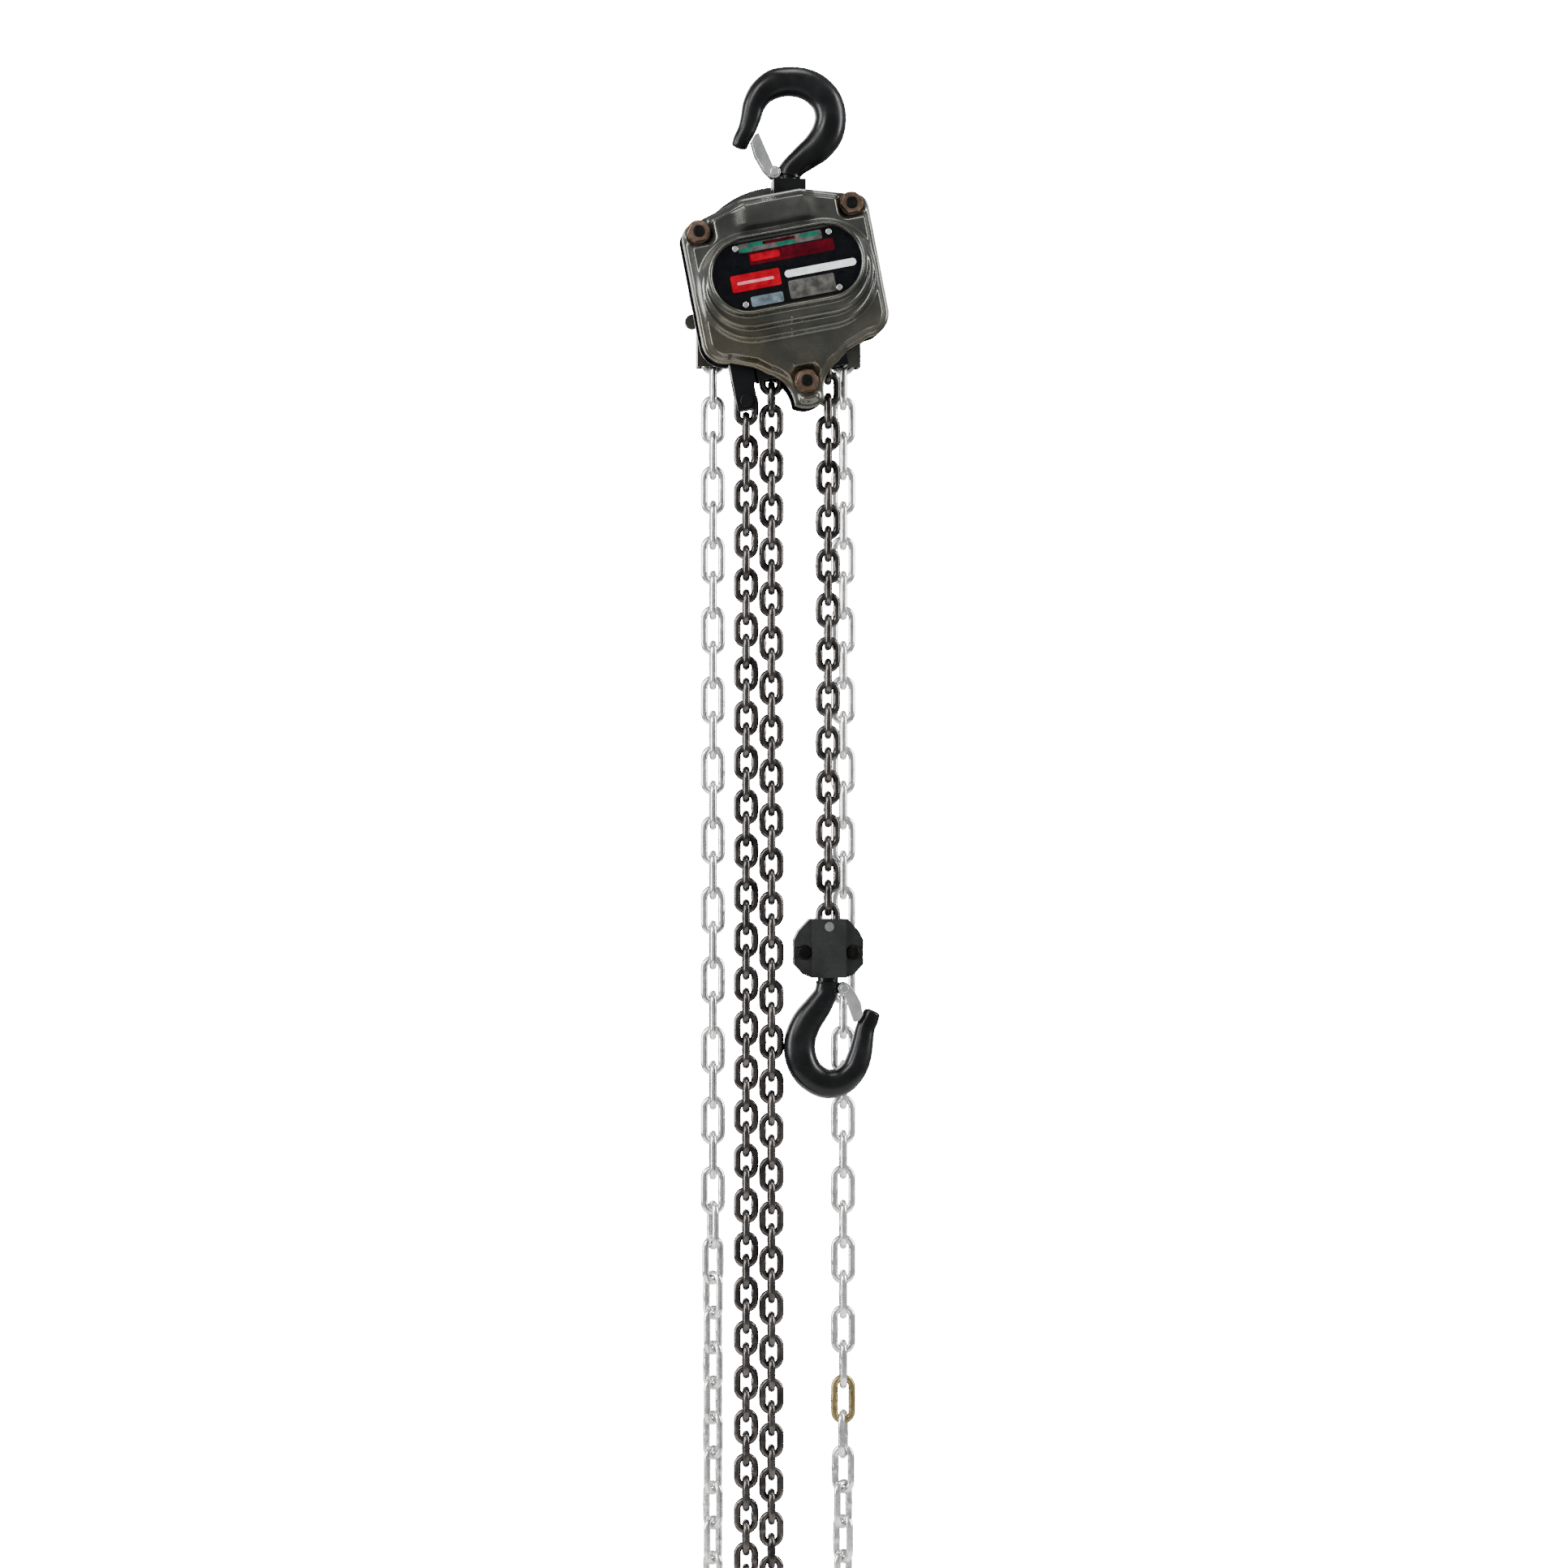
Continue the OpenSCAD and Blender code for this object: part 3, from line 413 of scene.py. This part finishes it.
def make_chain(name, points, turns, pitch, wire, body, material, y=0.0, transform=None):
    """Links between consecutive points; a turn of None leaves that link out. Gives each point's link too."""
    shape, shape_faces = link_shape(pitch, wire)
    verts, faces, owner = [], [], []
    for i, turn in enumerate(turns):
        if turn is None:
            continue
        base = len(owner)
        placed = place_link(shape, points[i], points[i + 1], turn) + np.array([0, y, 0])
        if transform:
            placed = np.array([transform @ Vector(v) for v in placed])
        verts.append(placed)
        faces += [tuple(base + k for k in face) for face in shape_faces]
        owner += [i] * len(placed)
    piece = make_piece(name, np.concatenate(verts), faces, body, material)
    return piece, np.array(owner)


def in_row(x, z):
    """A point of the leaning body, given in the body's own millimetres, as row x and z in metres."""
    v = BODY @ (Vector((x, 0, z)) * MM)
    return np.array([v.x, v.z])


def down(start, pitch, count):
    return [start - np.array([0, pitch * k]) for k in range(count + 1)]


def alternate(count, first):
    return [90 * ((i + first) % 2) for i in range(count)]


LOAD_R = LOAD_PITCH / (2 * math.sin(math.radians(22.5)))
HAND_R = HAND_PITCH / (2 * math.sin(math.radians(180 / HAND_LINKS)))
HALF_STEP = 180 / HAND_LINKS
HAND_X = HAND_R * math.cos(math.radians(HALF_STEP))

# The brown joining link, counted from the right strand's top, and the links' turn about their own length:
# in three steps below it, and back in three that end this many links from the left strand's top.
JOIN_LINK = 31
TWIST_END = 25
TWIST_STEP, TWIST_STEPS = 15, 3


def make_load_chain():
    """The sheave's links, the run to the hook block, and the slack loop back to the dead end."""
    sheave = (
        [np.array([LOAD_R, -LOAD_PITCH * k]) for k in range(4, 0, -1)]
        + [polar(LOAD_R, 45 * k) for k in range(5)]
        + [np.array([-LOAD_R, -LOAD_PITCH * k]) for k in range(1, 5)]
    )
    inner, _ = make_chain("load_chain_inner_links", sheave, alternate(len(sheave) - 1, 0), LOAD_PITCH,
                          LOAD_WIRE, "hoist_body", "load_chain", transform=BODY)
    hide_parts("load_chain_in_body")

    run_top = in_row(LOAD_R / MM, GUIDE_Z)
    run, owner = make_chain("load_chain_links", down(run_top, LOAD_PITCH, RUN_LINKS), alternate(RUN_LINKS, 1),
                            LOAD_PITCH, LOAD_WIRE, None, "load_chain")
    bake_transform(run)
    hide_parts("load_chain_run")

    slack_top = in_row(-LOAD_R / MM, GUIDE_Z)
    dead_top = in_row(*DEAD_END) + np.array([0, 3 * MM])
    slack = down(slack_top, LOAD_PITCH, round((slack_top[1] - LOOP_Z) / LOAD_PITCH))
    dead = down(dead_top, LOAD_PITCH, round((dead_top[1] - slack[-1][1]) / LOAD_PITCH))
    chord = dead[-1] - slack[-1]
    width = np.linalg.norm(chord)
    drop = math.sqrt(LOAD_PITCH ** 2 - (width / 2) ** 2)
    turn = (slack[-1] + dead[-1]) / 2 + drop * np.array([-chord[1], chord[0]]) / width
    points = slack + [turn] + dead[::-1]
    loop, _ = make_chain("load_chain_slack_links", points, alternate(len(points) - 1, 0), LOAD_PITCH,
                         LOAD_WIRE, "slack_loop", "load_chain")
    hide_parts("load_chain_slack_loop")


def make_hand_chain():
    """The endless hand chain: over the wheel, then a loop that hangs from both sides of it."""
    centre = np.array([MAIN.x, MAIN.z])
    over = [polar(HAND_R, (2 * k - 1) * HALF_STEP) + centre for k in range(HAND_LINKS // 2 + 2)]
    top, _ = make_chain("hand_chain_wheel_links", over, alternate(len(over) - 1, 0), HAND_PITCH, HAND_WIRE,
                        "hoist_body", "zinc", HAND_Y)
    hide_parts("hand_chain_on_wheel")

    first = -HAND_R * math.sin(math.radians(HALF_STEP))
    strand = math.floor((MAIN.z - LOOP_Z) / HAND_PITCH)
    right = down(centre + np.array([HAND_X, first]), HAND_PITCH, strand)
    left = down(centre + np.array([-HAND_X, first]), HAND_PITCH, strand)
    low = centre - np.array([0, HAND_PITCH * strand])
    turn = [polar(HAND_R, -(2 * k + 1) * HALF_STEP) + low for k in range(1, HAND_LINKS // 2 - 1)]
    points = right + turn + left[::-1]
    links = len(points) - 1
    steps = [min(TWIST_STEPS, i - JOIN_LINK, links - 1 - TWIST_END - i) for i in range(links)]
    turns = [a + TWIST_STEP * max(0, step) for a, step in zip(alternate(links, 1), steps)]
    joined = [t if i == JOIN_LINK else None for i, t in enumerate(turns)]
    turns[JOIN_LINK] = None
    loop, _ = make_chain("hand_chain_links", points, turns, HAND_PITCH, HAND_WIRE, "hand_loop",
                         "zinc", HAND_Y)
    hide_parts("hand_chain_loop")
    link, _ = make_chain("hand_chain_joining_link", points, joined, HAND_PITCH, HAND_WIRE, "hand_loop",
                         "olive_zinc", HAND_Y)
    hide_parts("hand_chain_join_link")


# ---------- hooks ----------

# [x, z, half width in the hook's plane, half thickness] in millimetres, from the shank to the nose
TOP_HOOK = [
    (0, -54, 8.2, 8.2), (1, -51, 8, 8), (5, -46.4, 8.2, 8.2), (12.2, -40.5, 9.3, 9), (20, -34, 10.4, 10),
    (26.3, -25, 10.9, 10.5), (28.6, -14, 10.6, 11), (26, -3.4, 10.6, 11), (19, 4.6, 10.6, 11),
    (10, 8.9, 10.3, 11), (0, 9.95, 9.95, 11), (-9.5, 8.3, 9.9, 10), (-18, 2.6, 8.8, 9), (-23.2, -5.4, 7.7, 8),
    (-25.6, -14.5, 6.9, 7), (-28.2, -22.5, 6.1, 6), (-31.8, -29.8, 5.7, 5.6), (-33.8, -35.6, 5.2, 5.2),
]
BOTTOM_HOOK = [
    (26.887, -600, 8.2, 8.2), (26.587, -603, 7.9, 7.9), (24.9, -609, 8, 8), (19.5, -617.5, 9.2, 9),
    (12.3, -627.5, 10.1, 9.8), (8, -639, 10.5, 10.2), (8.3, -651, 10.6, 10.4), (13.7, -662, 10.2, 10.6),
    (24, -668.8, 9.9, 10.6), (35, -668, 9.5, 10), (43.8, -660.5, 8.7, 9.3), (48.3, -650.5, 8.2, 8.4),
    (50.6, -640, 7.2, 7.4), (52.2, -632, 6.6, 6.3), (55.2, -625.2, 6.2, 5.9), (57.6, -619.6, 5.4, 5.6),
]


SHANK_R = 7
EAR_R, EAR_HALF_THICK = 3.6, 3


def smooth_stations(stations, steps):
    """Catmull-Rom values between the stations."""
    p = np.array(stations, float)
    n = len(p) - 1
    out = []
    for i in range(n):
        a, b, c, d = p[max(i - 1, 0)], p[i], p[i + 1], p[min(i + 2, n)]
        for k in range(steps):
            t = k / steps
            out.append(0.5 * (2 * b + (c - a) * t + (2 * a - 5 * b + 4 * c - d) * t ** 2
                              + (3 * b - a - 3 * c + d) * t ** 3))
    return np.array(out + [p[n]])


def make_hook(name, body, stations, shank_low, shank_high):
    """A forged hook: one sweep, fuller than an ellipse, with a trimmed flash line and a round nose."""
    rings = smooth_stations(stations, 12)
    sides = 48
    along = np.gradient(rings[:, :2], axis=0)
    along /= np.linalg.norm(along, axis=1)[:, None]
    angle = math.tau * np.arange(sides) / sides
    cos, sin = np.cos(angle), np.sin(angle)
    w = np.sign(cos) * np.abs(cos) ** 0.92
    t = np.sign(sin) * np.abs(sin) ** 0.86
    flash = 1 + 0.018 * np.exp(-(np.abs(sin) / 0.10) ** 2)
    verts = []
    count = len(rings)
    for i, (x, z, half_w, half_t) in enumerate(rings):
        nose = min(1.0, math.sqrt(max(0.0, (count - 1 - i) / 5 + 0.28)))
        side = half_w * w * flash * nose
        verts.append(np.stack([x + along[i, 1] * side, half_t * t * nose, z - along[i, 0] * side], axis=1))
    body_verts = np.concatenate(verts) * MM
    faces = tube_faces(count, sides, False)

    # the round shank, turned from the same forging
    heights = np.linspace(shank_low, shank_high, 14)
    base = len(body_verts)
    shank = [(stations[0][0] + SHANK_R * c, SHANK_R * s, h) for h in heights for c, s in zip(cos, sin)]
    faces += [tuple(base + k for k in face) for face in tube_faces(len(heights), sides, False)]
    points = np.concatenate([body_verts, np.array(shank) * MM])
    return make_piece(name, points, faces, body, "black_paint")


def make_latch_lug(name, body, x, z, toward, length):
    """The forged ear that carries a latch's rivet."""
    out = (Vector((toward[0], 0, toward[1])) - Vector((x, 0, z))).normalized()
    side = Vector((out.z, 0, -out.x))
    steps = 14
    pivot = Vector((x, 0, z))
    outline = [pivot + EAR_R * (side * math.cos(a) - out * math.sin(a))
               for a in (math.pi * k / steps for k in range(steps + 1))]
    outline += [pivot - EAR_R * side + out * length, pivot + EAR_R * side + out * length]
    n = len(outline)
    verts = [(p.x * MM, y * MM, p.z * MM) for y in (-EAR_HALF_THICK, EAR_HALF_THICK) for p in outline]
    faces = [tuple(range(n)), tuple(range(2 * n - 1, n - 1, -1))]
    faces += [(k, k + n, (k + 1) % n + n, (k + 1) % n) for k in range(n)]
    return make_piece(name, verts, faces, body, "black_paint", smooth=False)


def make_hooks():
    top = make_hook("top_hook_forging", "top_hook", TOP_HOOK, -70, -53)
    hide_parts("top_hook")
    make_latch_lug("top_hook_latch_ear", "top_hook", -10, -52, (0, -51), 6)
    bottom = make_hook("bottom_hook_forging", "bottom_hook", BOTTOM_HOOK, -601, -584)
    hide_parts("bottom_hook")
    make_latch_lug("bottom_hook_latch_ear", "bottom_hook", 37.5, -604.5, (26, -604.5), 7)


# ---------- gear case ----------

def in_outline(x, z):
    """Whether points of the body's own millimetres are inside the outline of the pressed covers."""
    corners = [(-64, 33), (-54, 43), (-20, 53), (20, 53), (54, 43), (64, 33), (64, -40), (50, -53), (32, -60),
               (12.5, -75), (-12.5, -75), (-32, -60), (-50, -53), (-64, -40)]
    inside = np.zeros(x.shape, bool)
    for (x0, z0), (x1, z1) in zip(corners, corners[1:] + corners[:1]):
        if z0 != z1:
            crosses = (z0 > z) != (z1 > z)
            inside ^= crosses & (x < (x1 - x0) * (z - z0) / (z1 - z0) + x0)
    for cx, cz, r in ((54, 33, 10), (48, -38, 16), (0, -77, 16.5)):
        inside |= np.hypot(np.abs(x) - cx, z - cz) < r
    return inside & (np.hypot(np.abs(x) - 34, z + 88) > 24)


def rise(distance, width):
    """1 well inside a step and 0 outside it, with a rounded flank of that width between them."""
    s = np.clip(0.5 - distance / width, 0, 1)
    return s * s * (3 - 2 * s)


def stadium(x, z, low, half_x, half_z):
    return np.hypot(np.maximum(np.abs(x) - (half_x - half_z), 0), z - low) - half_z


BOLTS = [(-52.5, 36.5), (52.5, 36.5), (0, -75.4)]
# the boss's nested steps: [height of the middle, half width, half height, how far it rises] in millimetres
TERRACES = [(-7.5, 60.8, 36.0, 3.7), (-4, 57.4, 31.6, 3.6), (0.3, 54.1, 27.2, 4.0)]


def case_depth(x, z, inset):
    """How far the pressed gear case stands out, in millimetres from the side plate's face."""
    depth = 3.8 + 0.8 * np.exp(-((inset - 1.6) / 1.1) ** 2)
    depth += 10.0 * rise(-inset + 3.7, 4.6)
    lobe = rise(z + 62, 26) * rise(np.abs(x) - 30, 30)
    depth -= 5.0 * lobe * rise(-inset + 3.7, 4.6)
    for low, half_x, half_z, step in TERRACES:
        out = stadium(x, z, low, half_x, half_z)
        depth += step * rise(out, 3.8) + 0.8 * np.exp(-((out + 2.1) / 1.0) ** 2)
    depth -= 1.3 * rise(stadium(x, z, 0.3, 50.6, 24.0), 1.6)
    hump = np.maximum(np.abs(x) - (25 - 0.10 * (z - 20)), np.maximum(z - 49, 20 - z))
    depth += 4.8 * rise(hump, 17) * rise(-stadium(x, z, 0, 61.5, 31), 9)
    depth -= 2.4 * rise(np.hypot(x / 1.9, z - 38) - 7, 12)
    for bx, bz in BOLTS:
        pocket = np.maximum(np.abs(x - bx) - 4.2, 0) ** 2 + np.maximum(np.abs(z - bz) - 4.2, 0) ** 2
        share = rise(np.sqrt(pocket) - 5.0, 4.5)
        depth = depth * (1 - share) + 4.8 * share
    return depth


def border_distance(x, z, border_x, border_z):
    """How far points are from a closed line of short straight pieces."""
    run_x, run_z = np.roll(border_x, -1) - border_x, np.roll(border_z, -1) - border_z
    off_x, off_z = x[:, None] - border_x, z[:, None] - border_z
    share = np.clip((off_x * run_x + off_z * run_z) / (run_x ** 2 + run_z ** 2), 0, 1)
    return np.min(np.hypot(off_x - share * run_x, off_z - share * run_z), axis=1)


def make_gear_case():
    """The pressed cover: rings from the middle out to the outline, then its edge, back to the gasket."""
    turns, steps = 480, 150
    middle = np.array([0.0, -12.0])
    angle = math.tau * np.arange(turns) / turns
    way = np.stack([np.cos(angle), np.sin(angle)], axis=1)
    low, high = np.zeros(turns), np.full(turns, 100.0)
    for _ in range(24):
        half = (low + high) / 2
        inside = in_outline(middle[0] + way[:, 0] * half, middle[1] + way[:, 1] * half)
        low, high = np.where(inside, half, low), np.where(inside, high, half)
    reach = low
    edge_x, edge_z = middle[0] + way[:, 0] * reach, middle[1] + way[:, 1] * reach
    verts = []
    for i in range(steps):
        t = (i + 0.5) / steps
        x, z = middle[0] + way[:, 0] * reach * t, middle[1] + way[:, 1] * reach * t
        inset = border_distance(x, z, edge_x, edge_z)
        verts.append(np.stack([x, PLATE_FACE_Y - case_depth(x, z, inset), z], axis=1))
    for y in (-21.4, -20.8, -18.9):
        verts.append(np.stack([edge_x, np.full(turns, y), edge_z], axis=1))
    rings = len(verts)
    flat = np.concatenate(verts) * MM
    placed = [BODY @ Vector(v) for v in flat]
    faces = []
    for i in range(rings - 1):
        for k in range(turns):
            a, b = i * turns + k, i * turns + (k + 1) % turns
            faces.append((a, b, b + turns, a + turns))
    placed.append(sum((placed[k] for k in range(turns)), Vector()) / turns)
    faces += [(len(placed) - 1, (k + 1) % turns, k) for k in range(turns)]
    case = make_piece("gear_case_pressing", placed, faces, "hoist_body", "cover_paint")
    wall = case.modifiers.new("wall", "SOLIDIFY")
    wall.thickness = 1.6 * MM
    wall.offset = 1
    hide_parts("gear_case")


def make_bar(name, x0, x1, z0, z1, material, radius=1.2, lift=0.12):
    """A thin printed block on the nameplate, with rounded corners."""
    outline = []
    for cx, cz, start in ((x1 - radius, z1 - radius, 0), (x0 + radius, z1 - radius, 90),
                          (x0 + radius, z0 + radius, 180), (x1 - radius, z0 + radius, 270)):
        for k in range(7):
            a = math.radians(start + 15 * k)
            outline.append((cx + radius * math.cos(a), cz + radius * math.sin(a)))
    n = len(outline)
    depths = (NAMEPLATE_FACE_Y - lift, NAMEPLATE_FACE_Y + 0.05)
    verts = [BODY @ (Vector((x, y, z)) * MM) for y in depths for x, z in outline]
    faces = [tuple(range(n)), tuple(range(2 * n - 1, n - 1, -1))]
    faces += [(k, (k + 1) % n, (k + 1) % n + n, k + n) for k in range(n)]
    make_piece(name, verts, faces, "hoist_body", material, smooth=False)


def make_plate_print():
    """Plain colour blocks in place of the lettering."""
    make_bar("nameplate_top_band", -30, 27, 15.2, 21.4, "print_grey")
    make_bar("nameplate_top_red_bar", -13, 9, 18.6, 20.6, "print_maroon", 0.8, 0.2)
    make_bar("nameplate_maroon_band", -24, 34, 6.2, 14.4, "print_maroon")
    make_bar("nameplate_red_tab", -23, -3, 8.6, 13.4, "print_red", 1.2, 0.2)
    make_bar("nameplate_red_block", -39, -5.5, -10, 1.4, "print_red")
    make_bar("nameplate_red_block_line", -35, -10, -5.4, -3.4, "print_pink", 0.6, 0.2)
    make_bar("nameplate_silver_bar", -2.4, 46.4, -6.3, -1.4, "print_silver", 2.3)
    make_bar("nameplate_grey_block", -1.4, 30, -21, -8.6, "print_grey")
    make_bar("nameplate_low_bar", -28, -6, -21.4, -14.6, "print_blue")
    for k, (x0, x1, z0) in enumerate(((-29, -22, 15.6), (-23, -12, 18.4), (-4, 8, 15.8), (13, 25, 18.2))):
        make_bar(f"nameplate_teal_bar_{k + 1}", x0, x1, z0, z0 + 2.6, "print_teal", 0.9, 0.2)


# ---------- CAD nodes ----------

# How wide the rounded edges of each kind of piece are, in millimetres.
BEVELS = {
    1.6: ("wheel_cover", "block_half_front", "block_half_rear"),
    1.2: ("top_yoke", "chain_guide"),
    1.0: ("brake_cover",),
    0.8: ("hand_wheel",),
    0.7: ("block_bolts",),
    0.6: ("gear_side_nuts", "wheel_side_nuts", "wheel_nut", "suspension_pin"),
    0.5: ("gear_side_plate", "wheel_side_plate", "stay_bolts", "load_sheave", "block_nuts", "dead_end_pin"),
    0.4: ("top_latch_rivet", "bottom_latch_rivet"),
    0.35: ("top_latch", "bottom_latch", "nameplate_rivets"),
}


def finish_cad_nodes():
    """The record's finish on every CAD node, a lighter copy of the black enamel on the cast block whose
    lighter grey is painted sheen, and rounded edges that show.
    """
    slots = {s["node"]: s["material_slot"] for s in frame["record"]["subparts"]}
    for name, node in NODES.items():
        # the block halves get the lighter enamel, whose grey is painted sheen
        finish = "block_paint_painted_sheen" if name.startswith("block_half") else slots[name]
        node.data.materials.clear()
        node.data.materials.append(MATERIALS[finish])
        for width, names in BEVELS.items():
            if name in names:
                add_bevel(node, width * MM)


make_camera()
MATERIALS = make_materials()
make_world()
make_floor()
make_area("key", (-1.6, -1.7, 0.9), (0, 0, -0.3), (0.6, 1.5), 55)
make_area("right_strip", (2.0, -0.55, 0.35), (0, 0, -0.3), (0.5, 1.8), 90)
make_area("left_strip", (-2.0, -0.45, -0.1), (0, 0, -0.3), (0.4, 1.8), 80)
make_area("top", (0.1, -0.3, 1.7), (0, 0, -0.3), (0.9, 0.9), 30)
make_area("back", (-0.9, 2.2, 0.3), (0, 0, -0.4), (1.2, 1.8), 35)
make_load_chain()
make_hand_chain()
make_hooks()
make_gear_case()
make_plate_print()
finish_cad_nodes()
